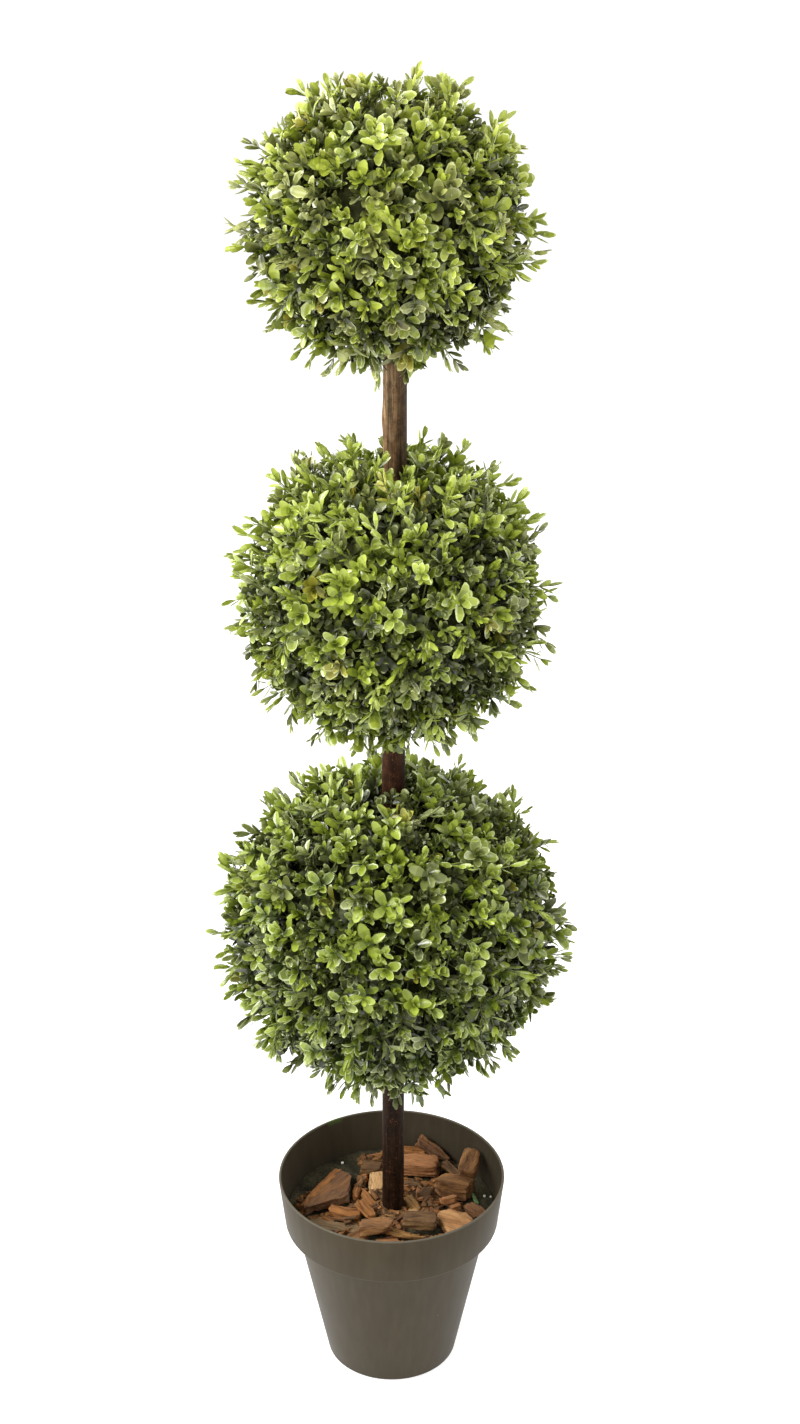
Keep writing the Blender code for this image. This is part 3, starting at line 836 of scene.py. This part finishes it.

# %% [markdown]
# ## Leaf plastic
# The leaves are moulded polyethylene, dyed in the mass and then brushed pale on the tip and along the
# rims; those pale tips and rims are partly a painted highlight as well. Where a leaf leaves the stem
# it is painted darker, partly dye and partly painted shade. The plastic is glossy enough that a cupped
# leaf carries one soft white highlight. A spray is dyed as one piece. Young sprays are a clear
# yellow-green, old ones a greyer green, and a few have yellowed. Each family is a ladder of six plain
# colours, and every step has a paler partner for the rims, so the colours are dealt out by spray and
# by place on the leaf. Each ball comes from its own dye batch: the top one is the yellowest, and the
# pale tones of the bottom one are the greyest and are dimmed as painted shade on the lowest ball.

# %% Leaf tones
LEAF_FAMILIES = {
    "young": ("#3A461A", "#525F1F", "#6B7926", "#85922F", "#9AA73D", "#ADB94E"),
    "old": ("#31381C", "#444C26", "#5A6131", "#71773F", "#888E50", "#A0A561"),
    "yellowed": ("#464819", "#5F5E1F", "#7A7828", "#938F34", "#AAA545", "#BDB958"),
}
# The pale rim and tip colour: partly pale paint, partly a painted highlight.
BRUSHED_PALE_AND_HIGHLIGHT = linear("#E9EFC0")
PALE_AND_HIGHLIGHT_SHARES = {"blade": 0.0, "rim": 0.34}
# For each dye batch, how much red, green and blue its darkest and palest tones keep.
DYE_BATCHES = {
    "spring": ((1.04, 1.015), (1.0, 1.0), (0.80, 0.93)),
    "summer": ((1.0, 0.985), (1.0, 1.0), (0.82, 0.97)),
    # This batch dims its palest tones: partly greyer dye, partly painted shade on the bottom ball.
    "late": ((1.08, 0.87), (1.09, 0.91), (0.88, 0.90)),
}
LEVELS = 6


def brushed_and_highlit(colour, share):
    """A dye colour with some of the pale rim colour over it: pale paint and a painted highlight."""
    return [c + (p - c) * share for c, p in zip(colour, BRUSHED_PALE_AND_HIGHLIGHT)]


def leaf_materials(batch):
    """The plain colours of one dye batch: every family, blade and rim, from dark to pale."""
    materials = []
    for family, ladder in LEAF_FAMILIES.items():
        for part, share in PALE_AND_HIGHLIGHT_SHARES.items():
            for level, tone in enumerate(ladder):
                name = f"dyed_polyethylene_{batch}_{family}_{part}_{level}"
                material, _, shader = new_material(name, tone, 0.30, ior=1.5)
                colour = brushed_and_highlit(linear(tone), share)
                for channel, kept in enumerate(DYE_BATCHES[batch]):
                    colour[channel] *= float(np.interp(level, (0, LEVELS - 1), kept))
                set_up(shader, {"Base Color": colour, "Specular IOR Level": 0.66})
                materials.append(material)
    return materials


# %% Leaf, stem and limb plastics
LEAVES = {batch: leaf_materials(batch) for batch in DYE_BATCHES}
STEM_PLASTIC = new_material("dyed_polyethylene_stem", "#747C45", 0.45)[0]
LIMB_PLASTIC, _, shader = new_material("dyed_polyethylene_limb", "#2B2C12", 0.8)
set_up(shader, {"Specular IOR Level": 0.12})

# %% [markdown]
# ## One leaf
# A box leaf is spoon shaped: narrow where it leaves the stem, widest beyond the middle, round at
# the tip, folded a little along the midrib, with its rims turned up. Nearly forty thousand are
# needed, so a leaf has few faces: a small grid, whose columns are the rim, the blade, the midrib and
# back. The grid's points only hold where each point lies across and along the leaf; every leaf then
# gets its own length, width, fold and curl.

# %% Leaf pattern
LEAF_STATIONS = (0.0, 0.28, 0.60, 0.89, 1.0)
LEAF_HALF_WIDTHS = (0.22, 0.70, 1.0, 0.66, 0.20)


def leaf_pattern(columns):
    """Points across (-1 to 1) and along (0 to 1) one leaf, its faces, their rows, and which are rim."""
    bm = bmesh.new()
    bmesh.ops.create_grid(bm, x_segments=len(columns) - 1, y_segments=len(LEAF_STATIONS) - 1, size=1.0)
    bm.verts.ensure_lookup_table()
    steps = [sorted({round(v.co[axis], 4) for v in bm.verts}) for axis in (0, 1)]
    across = [columns[steps[0].index(round(v.co.x, 4))] for v in bm.verts]
    row = [steps[1].index(round(v.co.y, 4)) for v in bm.verts]
    faces = np.array([[v.index for v in f.verts] for f in bm.faces])
    bm.free()
    face_row = np.array(row)[faces].min(axis=1)
    rim = (np.abs(np.array(across)[faces]).mean(axis=1) > 0.7) & (face_row > 0)
    along = np.array(LEAF_STATIONS)[row]
    narrowing = np.array(LEAF_HALF_WIDTHS)[row]
    return np.array(across), along, narrowing, faces, face_row, rim | (face_row == 3)


FINE_LEAF = leaf_pattern((-1.0, -0.80, 0.0, 0.80, 1.0))
PLAIN_LEAF = leaf_pattern((-1.0, 0.0, 1.0))
print("a fine leaf has", len(FINE_LEAF[3]), "faces and a plain one", len(PLAIN_LEAF[3]))

# %% [markdown]
# ## Sprays
# Box leaves stand in opposite pairs, each pair a quarter turn from the last, and the youngest pairs
# crowd at the tip. Seen end on that makes the little green stars all over the balls. Five kinds of
# spray are enough: an open star, a closer shoot of narrower leaves, a leggy shoot that stands proud
# with curled leaves far apart, a deep spray that sits sheltered and is painted dark as shade, and a
# small bud. Each kind is a table of pairs from the tip down: how far below the tip, the angle to the
# stem, the length in millimetres, the width for that length, and whether the leaf has the fine pattern.

# %% Spray tables
SPRAYS = {
    "star": (
        (0.0, 26.0, 8.5, 0.54, True), (1.2, 46.0, 12.5, 0.56, True), (3.4, 62.0, 14.5, 0.55, True),
        (9.5, 66.0, 13.5, 0.52, False), (17.0, 70.0, 12.5, 0.50, False),
    ),
    "shoot": (
        (0.0, 18.0, 7.0, 0.48, False), (2.0, 32.0, 9.0, 0.47, True), (6.0, 42.0, 11.0, 0.46, True),
        (11.5, 52.0, 12.0, 0.47, False), (17.5, 60.0, 12.0, 0.49, False),
        (24.0, 64.0, 12.0, 0.50, False),
    ),
    "leggy": (
        (0.0, 18.0, 10.5, 0.40, True), (6.0, 40.0, 12.0, 0.36, True),
        (14.5, 50.0, 12.5, 0.36, True), (23.5, 58.0, 12.5, 0.40, False),
        (32.0, 62.0, 12.5, 0.44, False),
    ),
    "deep": (
        (0.0, 30.0, 10.5, 0.50, False), (4.0, 48.0, 13.5, 0.49, False),
        (10.5, 60.0, 14.0, 0.49, False), (17.0, 66.0, 13.0, 0.50, False),
    ),
    "bud": (
        (0.0, 24.0, 5.5, 0.54, False), (1.5, 42.0, 7.5, 0.52, False), (5.0, 58.0, 9.0, 0.52, False),
    ),
}

# %% Spray shares and habits
SPRAY_KINDS = tuple(SPRAYS)
# For each kind in turn: its share of a ball, how pale it is (the deep spray's low value is painted
# shade), how many are young, and how it curls.
SPRAY_SHARES = (0.26, 0.23, 0.14, 0.25, 0.12)
SPRAY_LIGHT = (0.75, 0.59, 0.80, 0.34, 0.53)
SPRAY_YOUNG = (0.85, 0.55, 0.75, 0.25, 0.45)
SPRAY_CURL = (0.05, 0.08, 0.34, 0.06, 0.06)
# How far below the clipped surface a tip sits, and the spread of that, in metres.
SPRAY_DEPTH = ((0.0130, 0.0045), (0.0145, 0.0050), (-0.0055, 0.0065), (0.0225, 0.0045), (0.0140, 0.0050))


def unit(vectors):
    """The same directions, each of length one."""
    return vectors / np.linalg.norm(vectors, axis=-1, keepdims=True)


def spread_directions(count, rng, jitter):
    """Directions spread evenly over a sphere along a golden spiral, each then nudged."""
    k = np.arange(count) + 0.5
    z = 1.0 - 2.0 * k / count
    turn = k * math.pi * (3.0 - math.sqrt(5.0))
    flat = np.sqrt(1.0 - z * z)
    return unit(np.stack((flat * np.cos(turn), flat * np.sin(turn), z), axis=1)
                + rng.normal(0.0, jitter, (count, 3)))


# %% [markdown]
# ## The branching rule
# Boughs leave the pole at many heights and run out towards evenly spread directions; each forks into
# twigs, and each twig end feeds the sprays nearest to it. Every level starts exactly where the last
# one ends, so nothing floats. Working from the sprays back to the pole keeps the outside even, as
# clipping does, while the angles of the sprays stay as wild as a seeded generator makes them.

# %% Place the sprays of a ball
# In metres: no spray grows this near the pole, and the clipped surface is this uneven.
POLE_CLEARANCE, LUMPS = 0.019, 0.006
YELLOWED_SHARE = 0.025


def place_sprays(middle, body, count, youth_and_painted_light, painted_top_light, rng):
    """The sprays of one ball: kind, tip, stem direction, light and colour family of each."""
    outward = spread_directions(count, rng, 0.28 * math.sqrt(4.0 * math.pi / count))
    kinds = rng.choice(len(SPRAY_KINDS), count, p=SPRAY_SHARES)
    clear = np.hypot(outward[:, 0], outward[:, 1]) * body[0] > POLE_CLEARANCE
    outward, kinds = outward[clear], kinds[clear]
    number = len(outward)
    sunk, spread = np.array(SPRAY_DEPTH)[kinds].T
    depth = sunk + rng.normal(0.0, 1.0, number) * spread
    level = (outward[:, :2] ** 2).sum(axis=1)
    surface = 1.0 / np.sqrt(level / body[0] ** 2 + outward[:, 2] ** 2 / body[1] ** 2)
    lumps = np.array([noise.noise(Vector(d) * 3.4 + Vector(middle) * 9.0) for d in outward])
    tips = middle + outward * (surface + LUMPS * lumps - depth)[:, None]
    lean = np.tan(np.radians(np.clip(np.abs(rng.normal(0.0, 24.0, number)), 0.0, 48.0)))
    side = unit(np.cross(outward, unit(rng.normal(0.0, 1.0, (number, 3)))))
    stems = unit(outward + side * lean[:, None])
    # Painted light: sprays are paler towards the top of each ball, and lower balls are painted darker as
    # shade.
    light = np.array(SPRAY_LIGHT)[kinds] + rng.normal(0.0, 0.10, number) + painted_top_light * outward[:, 2] + youth_and_painted_light
    family = np.where(rng.random(number) < np.array(SPRAY_YOUNG)[kinds] + 0.5 * youth_and_painted_light, 0, 1)
    family[rng.random(number) < YELLOWED_SHARE] = 2
    return kinds, tips, stems, light, family


# %% Grow the leaves of the sprays
def grow_leaves(kinds, tips, stems, light, rng):
    """Every leaf as a row: base, along, up, length, width, fold, curl, light and its spray."""
    found = {True: [], False: []}
    helper = np.where(np.abs(stems[:, 2:3]) < 0.9, [[0.0, 0.0, 1.0]], [[1.0, 0.0, 0.0]])
    first = unit(np.cross(stems, helper))
    second = np.cross(stems, first)
    start_turn = rng.uniform(0.0, math.tau, len(stems))
    size = np.clip(rng.normal(1.0, 0.14, len(stems)), 0.70, 1.28)
    openness = rng.normal(0.0, 11.0, len(stems))
    for kind, name in enumerate(SPRAY_KINDS):
        chosen = np.flatnonzero(kinds == kind)
        n = len(chosen)
        for rank, (drop_mm, angle, length, ratio, fine) in enumerate(SPRAYS[name]):
            for side in (0, 1):
                turn = start_turn[chosen] + rank * math.pi / 2 + side * math.pi + rng.normal(0.0, 0.20, n)
                radial = first[chosen] * np.cos(turn)[:, None] + second[chosen] * np.sin(turn)[:, None]
                opened = angle + openness[chosen] + rng.normal(0.0, 9.0, n)
                open_angle = np.radians(np.clip(opened, 8.0, 105.0))
                axis = stems[chosen]
                along = axis * np.cos(open_angle)[:, None] + radial * np.sin(open_angle)[:, None]
                up = axis * np.sin(open_angle)[:, None] - radial * np.cos(open_angle)[:, None]
                roll = rng.normal(0.0, 0.26, n)[:, None]
                across = np.cross(along, up)
                up = up * np.cos(roll) + across * np.sin(roll)
                long = length * 0.001 * size[chosen] * rng.normal(1.0, 0.09, n)
                wide = long * ratio * rng.normal(1.0, 0.08, n)
                base = tips[chosen] - axis * (drop_mm * 0.001 * size[chosen])[:, None]
                fold = rng.uniform(0.08, 0.36, n)
                curl = rng.normal(SPRAY_CURL[kind], 0.12, n)
                # Lower pairs of a spray are painted darker, as shade deeper in the ball.
                shade = light[chosen] - 0.05 * max(0, rank - 1) + rng.normal(0.0, 0.06, n)
                row = (base, along, up, long, wide, fold, curl, shade, chosen)
                found[fine].append(np.column_stack(row))
    return {fine: np.concatenate(blocks) for fine, blocks in found.items() if blocks}


# %% Keep a ball inside its reach
REACH_SLACK = 1.005


def hold_in(leaves, tips, middle, reach):
    """Pushes back the sprays whose leaves pass the ball's reach, and returns the moved tips."""
    reach = np.array(reach)
    push = np.zeros(len(tips))
    for rows in leaves.values():
        ends = rows[:, 0:3] + rows[:, 3:6] * rows[:, 9:10] - middle
        over = np.maximum(0.0, np.linalg.norm(ends / reach, axis=1) - REACH_SLACK)
        np.maximum.at(push, rows[:, 14].astype(int), over)
    moves = -unit(tips - middle) * (push * reach.mean())[:, None]
    for rows in leaves.values():
        rows[:, 0:3] += moves[rows[:, 14].astype(int)]
    return tips + moves


# %% [markdown]
# ## From leaf rows to a mesh
# A mesh of a hundred thousand faces is best written in one go. Each row of numbers is a leaf, and the
# pattern's points are laid along its own directions: across it, along it, and up by its fold, its
# turned-up rim and its curl. The tone of a leaf picks a material slot by number.

# %% Leaf mesh
# Tone steps from a leaf's base row to its tip row: the dark base is partly painted shade where leaves crowd
# at the stem, the paler tip partly a painted highlight.
ROW_STEPS = np.array((-2.0, -0.7, 0.2, 0.6))


def leaf_mesh(name, rows, pattern, family, rimmed_and_highlit):
    """One mesh with every leaf of the rows, and a material number on every face."""
    across, along, narrowing, faces, face_row, rim = pattern
    base, direction, up = rows[:, 0:3], rows[:, 3:6], rows[:, 6:9]
    side = np.cross(direction, up)
    long, wide, fold, curl, light = (rows[:, i:i + 1] for i in range(9, 14))
    out = across * narrowing * wide / 2
    lift = fold * np.abs(out) + 0.5 * out * out / wide + curl * long * along ** 2
    points = (
        base[:, None, :]
        + side[:, None, :] * out[:, :, None]
        + direction[:, None, :] * (along * long)[:, :, None]
        + up[:, None, :] * lift[:, :, None]
    )
    count = len(rows)
    corners = (faces[None, :, :] + (np.arange(count) * len(across))[:, None, None]).reshape(-1)
    level = np.clip((light * LEVELS + ROW_STEPS[face_row][None, :]).astype(int), 0, LEVELS - 1)
    spray = rows[:, 14].astype(int)
    # Rim and tip faces of some sprays take the pale colour: pale paint and painted highlight.
    painted = rim[None, :] & rimmed_and_highlit[spray][:, None]
    slots = ((family[spray][:, None] * 2 + painted) * LEVELS + level).reshape(-1)
    mesh = bpy.data.meshes.new(name)
    mesh.vertices.add(count * len(across))
    mesh.vertices.foreach_set("co", points.reshape(-1).astype(np.float32))
    mesh.loops.add(len(corners))
    mesh.loops.foreach_set("vertex_index", corners.astype(np.int32))
    mesh.polygons.add(count * len(faces))
    mesh.polygons.foreach_set("loop_start", np.arange(0, len(corners), 4, dtype=np.int32))
    mesh.polygons.foreach_set("material_index", slots.astype(np.int32))
    mesh.update(calc_edges=True)
    mesh.validate()
    return mesh


# %% [markdown]
# ## Stems and limbs
# A moulded stem is a thin round rod that tapers. A curve with a bevel draws exactly that, and a
# thousand splines may share one curve object, so each level of the branching is one curve, turned
# into a mesh once it is complete. Four sides are plenty for a stem thinner than two millimetres.

# %% Rods along routes
def rods(name, routes, radii, sides):
    """One mesh of tapered rods: each route is a list of points, radii give the start and end."""
    data = bpy.data.curves.new(name, "CURVE")
    data.dimensions = "3D"
    data.bevel_depth = 1.0
    data.bevel_resolution = sides
    data.use_fill_caps = True
    for route in routes:
        spline = data.splines.new("POLY")
        spline.points.add(len(route) - 1)
        share = np.linspace(0.0, 1.0, len(route))
        spline.points.foreach_set("co", np.column_stack((route, np.ones(len(route)))).ravel())
        spline.points.foreach_set("radius", radii[0] + (radii[1] - radii[0]) * share)
    curve = bpy.data.objects.new(name, data)
    bpy.context.scene.collection.objects.link(curve)
    mesh = bpy.data.meshes.new_from_object(curve.evaluated_get(bpy.context.evaluated_depsgraph_get()))
    bpy.data.objects.remove(curve)
    mesh.materials.clear()
    return mesh


def bow(start, end, sag, steps):
    """A route from start to end that bows sideways in the middle."""
    share = np.linspace(0.0, 1.0, steps)[:, None]
    return start + (end - start) * share + sag * (4.0 * share * (1.0 - share))


# %% Boughs, twigs and stems
BOUGHS, TWIGS = 34, 230
# How far below its tip a stem leaves the twig's direction, and where it is held straight.
STEM_FOOT, STEM_NECK = 0.026, 0.012


def grow_limbs(middle, body, tips, stems, rng):
    """Boughs from the pole, twigs from the boughs, and the stems from the twigs to the sprays."""
    bough_ends, boughs = [], []
    for direction in spread_directions(BOUGHS, rng, 0.12):
        height = middle[2] + direction[2] * body[1] * 0.35
        start = np.array(pole_middle(height)) + unit(np.array((direction[0], direction[1], 0.0))) * 0.008
        end = middle + direction * body[0] * rng.uniform(0.46, 0.56)
        boughs.append(bow(start, end, rng.normal(0.0, 0.004, 3), 5))
        bough_ends.append(end)
    twig_ends, twigs = [], []
    for direction in spread_directions(TWIGS, rng, 0.05):
        end = middle + direction * body[0] * rng.uniform(0.70, 0.80)
        nearest = min(range(len(bough_ends)), key=lambda i: np.linalg.norm(bough_ends[i] - end))
        twigs.append(bow(bough_ends[nearest], end, rng.normal(0.0, 0.003, 3), 4))
        twig_ends.append(end)
    twig_ends = np.array(twig_ends)
    shoots = []
    for tip, stem in zip(tips, stems):
        foot = tip - stem * STEM_FOOT
        start = twig_ends[np.argmin(np.linalg.norm(twig_ends - foot, axis=1))]
        shoots.append(np.array((start, foot, tip - stem * STEM_NECK, tip)))
    return boughs, twigs, shoots


# %% [markdown]
# ## The balls
# On the real tree a moulded plastic ball clips onto the pole and the sprays plug into it. That
# ball is built too: it closes the gaps between the sprays, as it does on the real one, and its dark
# colour is partly painted shade, the dark of those gaps. Each ball of foliage is then grown from its
# own seed. The leaves go out in several meshes, because a mesh stays handy under two hundred thousand
# triangles.

# %% Inner ball
CORE_PLASTIC_AND_GAP_SHADE, add, shader = new_material("moulded_polyethylene_core_and_gap_shade", "#2C2E15", 0.8)
place = add("TexCoord")["Object"]
dusty = add("TexNoise", {"Scale": 300.0, "Detail": 4.0, "Roughness": 0.6}, {"Vector": place})
# Dark mottled tone, partly the moulded plastic and partly painted shade: the dark of the gaps between
# sprays.
core_tone_and_gap_shade = add("ValToRGB", {"stops": [(0.35, "#1F200A"), (0.55, "#2C2D11"), (0.70, "#3D3F1C")]},
                {"Fac": dusty["Fac"]})
rough = add("Bump", {"Strength": 0.5, "Distance": 0.0006}, {"Height": dusty["Fac"]})
set_up(shader, {"Specular IOR Level": 0.12}, {"Base Color": core_tone_and_gap_shade[0], "Normal": rough[0]})
CORE_SHARE = 0.735


def inner_ball(name, middle, body, seed):
    """The dark moulded ball under the leaves, dimpled where the sprays plug in; its dark colour is partly
    painted shade for the gaps.
    """
    bm = bmesh.new()
    bmesh.ops.create_icosphere(bm, subdivisions=5, radius=1.0)
    for v in bm.verts:
        dimple = noise.noise(v.co * 9.0 + Vector((seed, 0.0, 0.0)))
        scale = CORE_SHARE + 0.05 * dimple
        v.co = Vector((v.co.x * body[0], v.co.y * body[0], v.co.z * body[1])) * scale + Vector(middle)
    return mesh_of(bm, name)


# %% Grow the balls
# Name, node, middle, half width and half height of the clipped body, furthest reach along X, Y and Z,
# sprays, how much paler and younger than usual (the paleness is painted light, lower balls painted
# darker as shade), how much paler towards its top as painted top light, dye batch and seed.
BALLS = (
    ("top", "ball_top", (-0.0016, 0.0, 1.0726), (0.1135, 0.1170), (0.1280, 0.1280, 0.1276),
     980, -0.04, 0.19, "spring", 31),
    ("middle", "ball_middle", (0.0011, 0.0, 0.7611), (0.1276, 0.1290), (0.1398, 0.1398, 0.1412),
     1240, -0.06, 0.19, "summer", 32),
    ("bottom", "ball_bottom", (0.0001, 0.0, 0.4515), (0.1494, 0.1453), (0.1592, 0.1592, 0.1560),
     1700, -0.165, 0.22, "late", 33),
)
# Share of sprays whose rims and tips are painted pale: pale paint and painted highlight.
RIMMED_AND_HIGHLIT_SHARE = 0.62
TRIANGLE_LIMIT = 190000


def grow_ball(label, node, middle, body, reach, count, youth_and_painted_light, painted_top_light, batch, seed):
    """Grows one ball of foliage from its seed and hands over its leaves, limbs and inner ball."""
    def hand(mesh, name, materials):
        hand_over(mesh, name, materials, [node], 0)

    rng = np.random.default_rng(seed)
    middle = np.array(middle)
    kinds, tips, stems, light, family = place_sprays(middle, body, count, youth_and_painted_light, painted_top_light, rng)
    rimmed_and_highlit = rng.random(len(tips)) < RIMMED_AND_HIGHLIT_SHARE
    leaves = grow_leaves(kinds, tips, stems, light, rng)
    tips = hold_in(leaves, tips, middle, reach)
    for fine, rows in leaves.items():
        pattern = FINE_LEAF if fine else PLAIN_LEAF
        parts = math.ceil(len(rows) * len(pattern[3]) * 2 / TRIANGLE_LIMIT)
        order = np.argsort(rows[:, 2], kind="stable")
        for number, part in enumerate(np.array_split(rows[order], parts)):
            name = f"leaves_{label}_{'outer' if fine else 'inner'}_{number + 1}"
            hand(leaf_mesh(name, part, pattern, family, rimmed_and_highlit), name, LEAVES[batch])
    boughs, twigs, shoots = grow_limbs(middle, body, tips, stems, rng)
    for kind, routes, radii, sides, plastic in (
        ("boughs", boughs, (0.0026, 0.0017), 1, LIMB_PLASTIC),
        ("twigs", twigs, (0.0015, 0.0009), 0, LIMB_PLASTIC),
        ("stems", shoots, (0.0008, 0.0004), 0, STEM_PLASTIC),
    ):
        name = f"{kind}_{label}"
        hand(rods(name, routes, radii, sides), name, [plastic])
    name = f"inner_ball_{label}"
    hand(inner_ball(name, middle, body, seed), name, [CORE_PLASTIC_AND_GAP_SHADE])
    print(f"{label}: {len(tips)} sprays, {sum(len(r) for r in leaves.values())} leaves")


for ball in BALLS:
    grow_ball(*ball)
